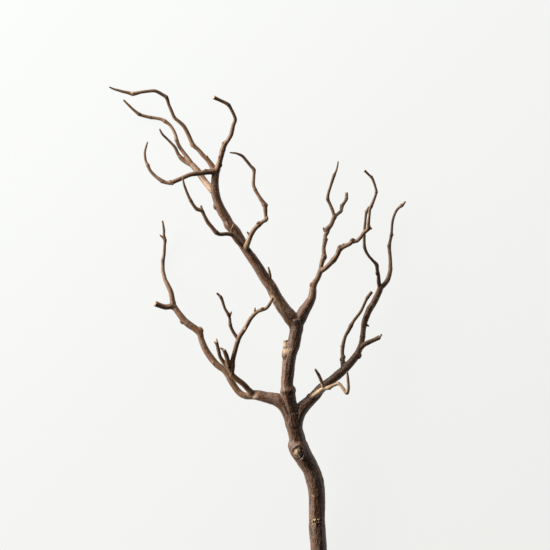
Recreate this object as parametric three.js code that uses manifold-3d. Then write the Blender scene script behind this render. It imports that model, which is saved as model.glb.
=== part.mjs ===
// A fallen tree branch, leafless and lying on its side: a sawn stem that forks into a leader and two
// boughs, which fork again into long crooked twigs. Millimetres, +Z up, +Y from the sawn end to the tips.
import * as THREE from "three";
import Module from "manifold-3d";

const wasm = await Module();
wasm.setup();

// Clearance left where one limb is set against the next.
const JOINT_GAP = 0.35;

// Facets around a limb and the longest stretch between two of its rings.
const STEM = { sides: 12, step: 13 };
const BOUGH = { sides: 10, step: 11 };
const TWIG = { sides: 6, step: 8.5 };

const BARK = {
  old: { color: 0x4a3528, roughness: 0.9, metalness: 0 },
  young: { color: 0x6b4c36, roughness: 0.8, metalness: 0 },
  tip: { color: 0x8f6c4c, roughness: 0.75, metalness: 0 },
};

// Every limb follows hand-laid stations from its base to its tip: [x, y, height of its middle, thickness].
// A limb with short side pieces, such as a broken stub, carries them as further routes of its own.
// Four low points share the load on the ground: the stem's sawn rim and the undersides of
// left_tip_twig, back_twig_upper and right_long_twig, each at a height of half its thickness.

const stem = [
  [28, 0, 11.5, 23],
  [26.5, 50, 15, 22.5],
  [24.5, 78, 17.5, 23],
  [24, 92, 19, 22.5],
  [24, 120, 22, 22.5],
  [23, 134, 24, 23],
  [20, 148, 25.5, 24],
  [15.5, 162, 27, 23],
  [7.5, 176, 29.5, 25],
  [0, 190, 32, 26],
  [-3.5, 204, 34, 22],
  [-7, 218, 36, 21],
  [-9, 228, 37, 22.5],
  [-10, 243, 39, 22],
];

const leader = [
  [-9, 234, 38, 18],
  [-13, 250, 42, 18.5],
  [-16.5, 267, 44, 18],
  [-18, 281, 45.5, 16],
  [-16.5, 302, 47.5, 17],
  [-15, 316, 49, 17.5],
  [-12.5, 327, 50.5, 17.5],
  [-9, 337, 51.5, 17.5],
  [-6.5, 351, 52.5, 17],
  [-5, 360, 53, 18.5],
  [-6, 373, 54, 21],
];
const leaderStub = [
  [-16, 314, 50, 6],
  [-22, 324, 51.5, 7],
  [-21.5, 335, 52, 6],
  [-21, 343.5, 52.5, 5.5],
];

const upperLeftBough = [
  [-6, 360, 53.5, 14],
  [-13.5, 376, 54, 19],
  [-23.5, 389, 54, 17.5],
  [-34, 405.5, 54, 15.5],
  [-41, 419.5, 54.5, 14.5],
  [-47.5, 428, 54.5, 14],
  [-56, 442, 55, 13.5],
  [-64.5, 455, 55, 13],
  [-75.5, 470, 55, 12],
  [-83.5, 484, 55, 13.5],
  [-91, 496.5, 55.5, 14],
  [-99, 505, 55.5, 14],
  [-102, 512, 55.5, 12.5],
  [-110.5, 526, 56, 12.5],
  [-116, 540, 56, 11],
  [-119, 554, 56, 11],
  [-119, 568, 56, 10],
  [-117.5, 580.5, 56, 10],
];

const topHookTwig = [
  [-118, 575, 56, 8],
  [-116, 582, 57, 8.5],
  [-113.5, 589, 58, 7],
  [-111.5, 596, 60, 6.5],
  [-108, 610, 62, 7],
  [-105.5, 617, 64, 6.5],
  [-100.5, 624, 67, 5.5],
  [-96.5, 631, 70, 5.5],
  [-93, 645, 75, 5],
  [-90.5, 652, 78, 4.5],
  [-92.5, 659, 80, 4],
  [-96, 666, 82, 4],
  [-100, 672.5, 84, 4.5],
  [-112, 679, 87, 4],
  [-117.5, 681.5, 90, 4.5],
  [-121, 683, 92, 5],
];

const topLeftTwig = [
  [-118, 577, 55.5, 7],
  [-121, 584, 55, 7.5],
  [-129, 596, 54, 6],
  [-136, 603, 53, 5.5],
  [-142, 610, 52, 5],
  [-149.5, 617, 51, 5.5],
  [-156, 631, 50, 5],
  [-162.5, 643, 50.5, 4.8],
  [-168.5, 649, 51, 4.5],
  [-175.5, 655, 51.5, 4.2],
  [-180.5, 666, 52.5, 4],
  [-183.5, 673, 53, 3.6],
  [-187, 683.5, 56, 4.5],
  [-192, 687, 57, 4.2],
  [-203, 692.5, 60, 4],
  [-213, 692, 61.5, 3.8],
  [-221, 691, 63, 3.9],
  [-234, 688.5, 64, 5.2],
  [-241, 690, 65, 3.8],
  [-248, 691.5, 66, 3.5],
  [-255, 693.5, 67, 3],
  [-260.5, 695, 68, 2.2],
  [-267, 698, 70, 1.4],
];

const frontArm = [
  [-117, 575, 57, 8],
  [-121, 579, 58.5, 8],
  [-133, 578.5, 62, 7],
  [-140, 577, 65, 6],
  [-147, 576.5, 68, 6],
  [-154, 575, 70, 5.5],
  [-168, 569, 74, 5.5],
  [-175, 566, 75, 5.5],
  [-180, 564, 75, 6.2],
  [-186, 564, 74.5, 4.8],
  [-192, 566, 74, 5],
  [-196, 568.5, 73.5, 4.8],
  [-203, 574, 72, 4],
  [-210, 582, 71.5, 3.6],
  [-212.5, 588, 71, 4.2],
  [-215.5, 594, 70, 3],
  [-217, 606, 71, 2.6],
  [-215.5, 613, 72, 2.4],
  [-213, 621, 76, 1.4],
];

const backBough = [
  [-118, 548, 52, 9],
  [-123, 554, 46, 9],
  [-131.5, 564, 36, 8.5],
  [-136, 570, 32, 8.5],
  [-143, 580.5, 26, 8.5],
  [-147, 585, 23, 8],
  [-150.5, 589, 20, 8],
];

const backTwigUpper = [
  [-148, 585.5, 22, 6],
  [-154, 594, 19, 5.8],
  [-158, 600, 17, 5],
  [-164, 608, 15, 4.5],
  [-169.5, 616, 13, 4.6],
  [-173, 624, 11, 4.9],
  [-175, 632.5, 9, 3.8],
  [-182, 645, 6, 3.6],
  [-189, 650.5, 4.5, 4.6],
  [-195.5, 654, 3, 4],
  [-203, 655.5, 2.2, 3.8],
  [-210, 656.5, 2, 4],
  [-222.5, 659.5, 3, 3.8],
  [-226, 661, 3.5, 4.6],
  [-232.5, 666, 5, 3.2],
  [-238, 671, 6, 3],
  [-248, 681, 8, 2],
];

const backTwigLower = [
  [-148, 587, 21, 6],
  [-155, 591, 19, 6],
  [-161, 594.5, 17, 6],
  [-166.5, 599, 16, 6],
  [-171, 605, 16, 4.2],
  [-175, 613.5, 17, 3.8],
  [-180.5, 620, 18, 3],
  [-187.5, 627, 20, 2.7],
  [-193, 632.5, 23, 2.6],
  [-197, 640, 26, 1.8],
];

const sideTwigLeft = [
  [-78.5, 474, 58, 8],
  [-87, 482.5, 63, 8],
  [-95, 491.5, 66, 6.3],
  [-103.5, 492.5, 69, 5],
  [-112, 492, 72, 4.8],
  [-117, 494.5, 74, 6],
  [-123, 501.5, 76, 5],
  [-129, 509, 77.5, 5],
  [-134.5, 519.5, 80, 4.2],
  [-137, 524.5, 81, 4.8],
  [-144, 527, 82.5, 4.8],
  [-148.5, 532, 84, 4],
  [-152.5, 538.5, 85, 4.2],
  [-156, 545.5, 86, 3.4],
  [-160.5, 557, 88.5, 3],
  [-162, 561.5, 90, 2.5],
  [-164, 572.5, 92, 1.5],
];

const sideTwigRight = [
  [-76, 472, 58, 7],
  [-74, 477, 65, 7],
  [-71.5, 484, 70, 6.7],
  [-68.5, 491, 73, 6],
  [-63, 499.5, 76, 5.6],
  [-57.5, 505, 77.5, 6],
  [-52, 509.5, 79, 4.8],
  [-47.5, 512.5, 80, 5.2],
  [-48, 519, 80, 4.4],
  [-48.5, 526, 80, 5.4],
  [-49.5, 533, 79.5, 6.2],
  [-54, 540, 79, 5],
  [-58.5, 547, 78, 4.2],
  [-62.5, 554, 77, 4.4],
  [-65, 561, 76, 4.2],
  [-64.5, 575, 74.5, 3.9],
  [-64.5, 582, 74, 4.4],
  [-69.5, 588, 75, 3.6],
  [-73.5, 593, 76, 3.6],
  [-80.5, 601, 78.5, 3.4],
  [-84, 603, 80, 3.2],
  [-89.5, 605, 81.5, 2.3],
  [-98.5, 606, 84, 1.3],
];

const upperRightBough = [
  [-4, 360, 53.5, 12],
  [1, 375, 54, 16],
  [5.5, 384.5, 53, 15.5],
  [11.5, 393.5, 52, 13],
  [16.5, 403, 51, 10.5],
  [18, 411, 50.5, 9.5],
  [18.5, 418, 50, 8.5],
  [21, 424.5, 49.5, 7.7],
  [24.5, 430, 49, 6.8],
  [29.5, 442.5, 48, 7],
];

const forkedTwig = [
  [28.5, 439, 48, 5],
  [30, 449, 46, 4.8],
  [32, 456, 44, 5.6],
  [34, 460, 43, 6.2],
  [33.5, 467, 42, 4.4],
  [33.5, 474, 40.5, 3.9],
  [35.5, 484, 38, 5],
  [35.5, 489.5, 36.5, 3.8],
  [38, 495, 35, 5.2],
  [39, 499.5, 34, 6],
  [43.5, 505, 32.5, 4.6],
  [46.5, 512, 31, 4.6],
  [49, 517.5, 30, 5.4],
];

const forkedTwigLeft = [
  [48.3, 515, 30.5, 4],
  [46, 524.5, 29, 4],
  [42, 534.5, 28, 3.7],
  [39, 541.5, 28, 4.2],
  [40, 550, 29, 3.4],
  [42.5, 558, 30, 3.4],
  [48, 575, 34, 3.8],
  [50.5, 580.5, 36, 2.4],
  [52.5, 587.5, 38, 1.8],
  [53.5, 594.5, 40, 1.2],
];

const forkedTwigRight = [
  [48, 516, 30.5, 4],
  [54, 521.5, 26, 3.9],
  [57.5, 524.5, 24, 4.3],
  [59, 531.5, 18, 4.5],
  [62.5, 537, 16, 3.8],
  [65, 541.5, 14, 4.1],
  [65.5, 551, 12, 3.6],
];

const reachingTwig = [
  [28, 439, 48.5, 5.5],
  [35, 444, 51, 6],
  [42, 450.5, 52, 6.2],
  [47, 456, 54, 7.5],
  [52, 463, 56, 6],
  [56, 471.5, 58, 7],
  [63, 475.5, 61, 5.4],
  [70, 479, 63, 5.3],
  [73.5, 482.5, 64, 6.3],
  [79, 482.5, 65, 4.6],
  [84, 487, 66, 4.8],
  [89.5, 494, 67, 4.8],
  [96, 500.5, 68, 5],
  [95.5, 505.5, 68.5, 4.3],
  [97, 519, 70, 3.1],
  [97.5, 526, 71, 3.4],
  [99.5, 531, 72, 4.2],
  [105.5, 546.5, 75, 3.2],
  [106.5, 551, 76, 3.6],
  [105.5, 557, 77, 2.8],
  [100, 571.5, 80, 3.1],
  [96.5, 574.5, 81, 2.6],
  [89.5, 581.5, 84, 2.9],
];

const leftBough = [
  [-10, 222, 37, 14],
  [-14, 234, 39, 15.5],
  [-20, 249, 41, 17],
  [-29, 258.5, 41.5, 18],
  [-38, 262, 41, 16],
  [-48, 264, 40, 14.3],
  [-56, 266, 39, 13.5],
  [-65, 267, 37, 12],
  [-74, 265.5, 34.5, 8.5],
  [-80, 267, 33, 7.7],
  [-84, 269.5, 31.5, 7.7],
  [-89.5, 275.5, 30.5, 7.5],
  [-97.5, 288, 29, 7.5],
  [-101, 295, 28, 7.7],
  [-106.5, 302, 27, 8],
  [-115, 308, 25, 8.4],
  [-123, 316.5, 22.5, 8.4],
  [-133, 331.5, 20, 8.1],
  [-138.5, 345.5, 18.5, 7.5],
  [-140.5, 353, 18, 8],
  [-145.5, 358.5, 17, 8.4],
  [-157, 366.5, 16, 9],
  [-163, 372.5, 15, 8],
  [-173.5, 386, 12.5, 7],
  [-176.5, 391, 12, 7],
];
const leftCutStub = [
  [-174, 387, 12.5, 6],
  [-180, 390.5, 13.5, 7],
  [-189, 390, 15, 6.6],
  [-196, 392, 17.5, 6.4],
  [-203.5, 395, 20, 7],
];

const leftTipTwig = [
  [-175, 387.5, 12, 5],
  [-178, 396, 11, 6.6],
  [-180, 407, 10.5, 6.3],
  [-181.5, 412.5, 10, 6.1],
  [-185.5, 421, 8.5, 5.4],
  [-189, 428, 6.5, 4.7],
  [-191, 435, 4.5, 4.4],
  [-192.5, 442, 3, 4.3],
  [-192.5, 449, 2, 4],
  [-192.5, 456, 2.2, 4.2],
  [-191, 463, 2.8, 3.5],
  [-190, 477, 5, 3.1],
  [-189.5, 484, 6, 3.7],
  [-191, 491, 7.5, 2.6],
  [-191, 498, 9, 2.6],
  [-193, 511.5, 13, 1.4],
];

const leftInnerBough = [
  [-62, 268, 39, 8],
  [-68, 270.5, 40.5, 8],
  [-73, 275.5, 42, 7],
  [-78.5, 281.5, 44, 7],
  [-84, 286, 45, 7],
  [-89.5, 290, 46, 7],
  [-96.5, 296.5, 47, 7],
];
const leftInnerLongStub = [
  [-95, 295, 47, 5],
  [-102, 306, 48.5, 5],
  [-107, 313, 50, 4.8],
  [-112, 321, 52, 4.2],
  [-113.5, 327, 54, 4.2],
  [-117, 342, 58, 3.6],
];
const leftInnerShortStub = [
  [-95, 295, 47, 5],
  [-99.5, 307.5, 51, 6],
  [-103, 321.5, 55, 5.6],
  [-106.5, 330.5, 59, 4.6],
];

const leftArcTwig = [
  [-95.5, 295, 47.5, 5.5],
  [-94.5, 307.5, 50, 6.3],
  [-94, 316, 51, 5.9],
  [-91.5, 326, 53, 5.6],
  [-87.5, 341, 59, 5.8],
  [-84, 349.5, 62, 5.6],
  [-78.5, 358, 64, 5.6],
  [-73.5, 366.5, 66, 5],
  [-69.5, 373.5, 68, 4.8],
  [-64.5, 379.5, 70, 4.5],
  [-59, 384, 72, 4.2],
  [-53, 386.5, 74, 4.3],
  [-47.5, 388.5, 75, 4],
  [-43.5, 393, 76.5, 3.8],
  [-37.5, 403.5, 79, 3],
];

const leftForkTwig = [
  [-86, 345, 60.5, 4.2],
  [-89.5, 349.5, 61, 4.3],
  [-94, 356.5, 62, 3.9],
  [-97.5, 365.5, 64, 4.2],
  [-98.5, 375, 65, 3.4],
  [-100, 379.5, 66, 4],
  [-105, 388, 68, 3.2],
  [-110.5, 403.5, 71, 3.8],
  [-115.5, 409, 73, 2.2],
];

const rightBough = [
  [-4, 222, 37, 14],
  [-3, 236, 39, 17],
  [3, 248, 39.5, 18],
  [13.5, 258.5, 38, 15.4],
  [22, 267, 37, 14.7],
  [29, 275.5, 35.5, 13.2],
  [36, 281.5, 34, 11.4],
  [45, 288, 32.5, 11.2],
  [53, 294.5, 31, 11.6],
  [61.5, 302, 29, 11.2],
  [77, 319, 26, 9.8],
  [82.5, 328.5, 25, 8.2],
  [86, 338.5, 23.5, 6.8],
  [88, 348, 22, 7],
  [89, 358, 21, 6.5],
  [90.5, 368, 20, 7.7],
  [94, 378.5, 19, 8.4],
  [98, 387.5, 18, 8.8],
  [103, 395, 17, 8.4],
  [111.5, 412.5, 15, 8],
  [113.5, 419.5, 15, 8],
];
const rightCutStub = [
  [82, 328, 25, 5.5],
  [89.5, 336.5, 26.5, 5.8],
  [95, 340, 28, 6],
  [105, 344.5, 29, 5.6],
  [112, 348, 30, 5.8],
];

const rightFrontTwig = [
  [15, 262, 41, 6.5],
  [22, 268, 46, 5.6],
  [28, 272.5, 48, 5.9],
  [33.5, 276, 50, 5],
  [40.5, 277.5, 53, 5.2],
  [47.5, 281, 56, 4.2],
  [54, 283, 58, 4.4],
  [59, 278, 60, 4],
  [65.5, 270, 62, 4.4],
  [67.5, 275.5, 64, 3.9],
  [67, 288, 67, 3.5],
  [66, 299.5, 70, 2.2],
];
const rightFrontSpur = [
  [33, 276, 50, 4.2],
  [32, 281, 52, 4.4],
  [29.5, 287.5, 55, 4.2],
  [26.5, 294.5, 60, 3.9],
  [21, 303.5, 68, 2.6],
];

const rightInnerTwig = [
  [61, 303, 29, 6.5],
  [60, 313, 27, 6.2],
  [60, 319, 25, 5.2],
  [59.5, 326, 22.5, 4.5],
  [60, 334, 20, 4.8],
  [64, 349.5, 17, 3.9],
  [68, 356.5, 15.5, 4.8],
  [71.5, 363.5, 14.5, 5.3],
  [75.5, 370.5, 13.5, 3.7],
  [85.5, 384, 12, 3.5],
  [93, 400, 12.5, 3.5],
  [95, 403.5, 13, 4.2],
  [101, 411.5, 14, 3.9],
];

const rightWavyTwig = [
  [113, 416, 15, 5.5],
  [111, 423, 17.5, 5.4],
  [110, 435, 22, 4.4],
  [108.5, 442, 25, 4.5],
  [107.5, 449, 28, 5],
  [101.5, 456, 31, 3.6],
  [96.5, 461.5, 34, 3.4],
  [92.5, 468, 36, 3.8],
  [90.5, 474, 38, 4],
  [90, 481, 40, 3.5],
  [90, 491, 42, 3.5],
  [91.5, 512, 46.5, 2.9],
  [93, 523, 49, 3.4],
  [96.5, 531, 51, 1.8],
];

const rightLongTwig = [
  [113, 416, 14.5, 6],
  [119, 422.5, 14, 6.3],
  [123, 428, 12, 6.2],
  [127, 442, 9, 5.4],
  [127, 449, 7, 4.8],
  [127, 456, 5, 4.5],
  [126.5, 463, 3.5, 4.2],
  [125.5, 475.5, 2.3, 4.6],
  [127, 484, 2.6, 3.6],
  [128.5, 491, 3.5, 4],
  [129, 498, 4.6, 3],
  [130.5, 512, 7, 3],
  [135, 524.5, 9, 3.1],
  [138.5, 529, 10.5, 3.2],
  [143, 532.5, 12.5, 4],
  [146.5, 536, 14.5, 2.4],
  [148, 538.5, 16, 1.6],
];

// From the stem outwards: each limb is cut back from the limbs before it.
const LIMBS = [
  { name: "stem", shape: STEM, bark: BARK.old, routes: [stem] },
  { name: "leader", shape: STEM, bark: BARK.old, routes: [leader, leaderStub] },
  { name: "left_bough", shape: BOUGH, bark: BARK.old, routes: [leftBough, leftCutStub] },
  { name: "right_bough", shape: BOUGH, bark: BARK.old, routes: [rightBough, rightCutStub] },
  { name: "upper_left_bough", shape: BOUGH, bark: BARK.old, routes: [upperLeftBough] },
  { name: "upper_right_bough", shape: BOUGH, bark: BARK.old, routes: [upperRightBough] },
  {
    name: "left_inner_bough",
    shape: TWIG,
    bark: BARK.young,
    routes: [leftInnerBough, leftInnerLongStub, leftInnerShortStub],
  },
  { name: "left_arc_twig", shape: TWIG, bark: BARK.tip, routes: [leftArcTwig] },
  { name: "left_fork_twig", shape: TWIG, bark: BARK.tip, routes: [leftForkTwig] },
  { name: "left_tip_twig", shape: TWIG, bark: BARK.tip, routes: [leftTipTwig] },
  { name: "right_front_twig", shape: TWIG, bark: BARK.tip, routes: [rightFrontTwig, rightFrontSpur] },
  { name: "right_inner_twig", shape: TWIG, bark: BARK.young, routes: [rightInnerTwig] },
  { name: "right_long_twig", shape: TWIG, bark: BARK.young, routes: [rightLongTwig] },
  { name: "right_wavy_twig", shape: TWIG, bark: BARK.young, routes: [rightWavyTwig] },
  { name: "side_twig_left", shape: TWIG, bark: BARK.young, routes: [sideTwigLeft] },
  { name: "side_twig_right", shape: TWIG, bark: BARK.young, routes: [sideTwigRight] },
  { name: "back_bough", shape: TWIG, bark: BARK.young, routes: [backBough] },
  { name: "back_twig_upper", shape: TWIG, bark: BARK.tip, routes: [backTwigUpper] },
  { name: "back_twig_lower", shape: TWIG, bark: BARK.tip, routes: [backTwigLower] },
  { name: "front_arm", shape: TWIG, bark: BARK.young, routes: [frontArm] },
  { name: "top_left_twig", shape: TWIG, bark: BARK.tip, routes: [topLeftTwig] },
  { name: "top_hook_twig", shape: TWIG, bark: BARK.young, routes: [topHookTwig] },
  { name: "forked_twig", shape: TWIG, bark: BARK.young, routes: [forkedTwig] },
  { name: "forked_twig_left", shape: TWIG, bark: BARK.tip, routes: [forkedTwigLeft] },
  { name: "forked_twig_right", shape: TWIG, bark: BARK.tip, routes: [forkedTwigRight] },
  { name: "reaching_twig", shape: TWIG, bark: BARK.young, routes: [reachingTwig] },
];

/** The rings of a route: middle, direction and radius at every station and at even steps between. */
function ringsAlong(route, step) {
  const stations = route.map(([x, y, z]) => new THREE.Vector3(x, y, z));
  const path = new THREE.CatmullRomCurve3(stations, false, "centripetal");
  const spans = stations.length - 1;
  const rings = [];
  for (let span = 0; span < spans; span++) {
    const steps = Math.max(1, Math.round(stations[span].distanceTo(stations[span + 1]) / step));
    const isLast = span === spans - 1;
    for (let i = 0; i < steps + (isLast ? 1 : 0); i++) {
      const along = i / steps;
      const t = (span + along) / spans;
      const thickness = THREE.MathUtils.lerp(route[span][3], route[span + 1][3], along);
      rings.push({ middle: path.getPoint(t), direction: path.getTangent(t), radius: thickness / 2 });
    }
  }
  return rings;
}

/** A round tapering solid along a route, grown all over by a clearance. */
function taperedTube(route, { sides, step }, clearance) {
  const rings = ringsAlong(route, step);
  rings[0].middle.addScaledVector(rings[0].direction, -clearance);
  rings.at(-1).middle.addScaledVector(rings.at(-1).direction, clearance);

  const up = new THREE.Vector3(0, 0, 1);
  const positions = [];
  for (const { middle, direction, radius } of rings) {
    const across = direction.clone().cross(up).normalize();
    const above = across.clone().cross(direction);
    for (let i = 0; i < sides; i++) {
      // The first corner is the underside, so a limb rests on a line at half its thickness.
      const angle = (i / sides) * 2 * Math.PI - Math.PI / 2;
      const corner = middle.clone();
      corner.addScaledVector(across, Math.cos(angle) * (radius + clearance));
      corner.addScaledVector(above, Math.sin(angle) * (radius + clearance));
      positions.push(...corner.toArray());
    }
  }

  const triangles = [];
  const last = (rings.length - 1) * sides;
  for (let i = 1; i < sides - 1; i++) {
    triangles.push(0, i, i + 1);
    triangles.push(last, last + i + 1, last + i);
  }
  for (let ring = 0; ring < last; ring += sides) {
    for (let i = 0; i < sides; i++) {
      const here = ring + i;
      const next = ring + ((i + 1) % sides);
      triangles.push(here, here + sides, next + sides);
      triangles.push(here, next + sides, next);
    }
  }
  return new wasm.Manifold(new wasm.Mesh({
    numProp: 3,
    vertProperties: new Float32Array(positions),
    triVerts: new Uint32Array(triangles),
  }));
}

/** A limb with its side pieces as one solid. */
function limbSolid({ routes, shape }, clearance = 0) {
  const tubes = routes.map((route) => taperedTube(route, shape, clearance));
  return tubes.reduce((joined, tube) => joined.add(tube));
}

function largestBody(solid) {
  const bodies = solid.decompose();
  return bodies.reduce((best, body) => (body.volume() > best.volume() ? body : best));
}

function limbMesh(name, solid, bark) {
  const { vertProperties, triVerts } = solid.getMesh();
  const geometry = new THREE.BufferGeometry();
  geometry.setAttribute("position", new THREE.BufferAttribute(vertProperties, 3));
  geometry.setIndex(new THREE.BufferAttribute(triVerts, 1));
  geometry.computeVertexNormals();
  const mesh = new THREE.Mesh(geometry, new THREE.MeshStandardMaterial(bark));
  mesh.name = name;
  return mesh;
}

const branch = new THREE.Group();
const earlier = [];
for (const limb of LIMBS) {
  let solid = limbSolid(limb);
  for (const other of earlier) {
    solid = solid.subtract(other);
  }
  branch.add(limbMesh(limb.name, largestBody(solid), limb.bark));
  earlier.push(limbSolid(limb, JOINT_GAP));
}

// The origin is the middle of the ground that the branch covers.
const extent = new THREE.Box3().setFromObject(branch);
const middle = extent.getCenter(new THREE.Vector3());
branch.position.set(-middle.x, -middle.y, -extent.min.z);

export default branch;
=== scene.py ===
"""A fallen tree branch: one skin of bark over a sawn stem, its boughs and its crooked twigs."""

import math

import bpy
import numpy as np
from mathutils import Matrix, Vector
from mathutils.kdtree import KDTree


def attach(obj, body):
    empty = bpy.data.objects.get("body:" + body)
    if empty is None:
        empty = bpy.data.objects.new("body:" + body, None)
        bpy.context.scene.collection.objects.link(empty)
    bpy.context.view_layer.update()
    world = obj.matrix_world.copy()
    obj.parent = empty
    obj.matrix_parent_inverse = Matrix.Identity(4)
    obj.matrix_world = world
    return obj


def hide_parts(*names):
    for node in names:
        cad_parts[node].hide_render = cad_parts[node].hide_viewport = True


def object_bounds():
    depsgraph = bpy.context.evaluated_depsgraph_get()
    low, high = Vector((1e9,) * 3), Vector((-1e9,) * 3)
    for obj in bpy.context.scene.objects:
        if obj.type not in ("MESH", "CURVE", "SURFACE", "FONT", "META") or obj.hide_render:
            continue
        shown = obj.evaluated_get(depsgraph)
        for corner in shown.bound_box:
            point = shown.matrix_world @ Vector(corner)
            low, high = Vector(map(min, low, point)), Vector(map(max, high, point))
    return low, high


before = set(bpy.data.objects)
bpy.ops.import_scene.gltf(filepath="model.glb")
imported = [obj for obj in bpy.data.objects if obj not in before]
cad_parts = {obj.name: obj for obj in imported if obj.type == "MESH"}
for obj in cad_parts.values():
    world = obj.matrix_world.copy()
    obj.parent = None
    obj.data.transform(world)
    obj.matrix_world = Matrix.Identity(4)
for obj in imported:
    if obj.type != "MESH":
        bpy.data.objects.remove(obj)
cad_low, cad_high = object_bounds()

MM = 0.001

# Every limb follows stations from its base to its tip: (x, y, height of its middle, thickness), mm.
# The same stations as the solids', whose origin was moved to the middle of the ground that the branch covers.
GROUND_MIDDLE = np.array([-59.326, 348.861, 0.0])

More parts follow.
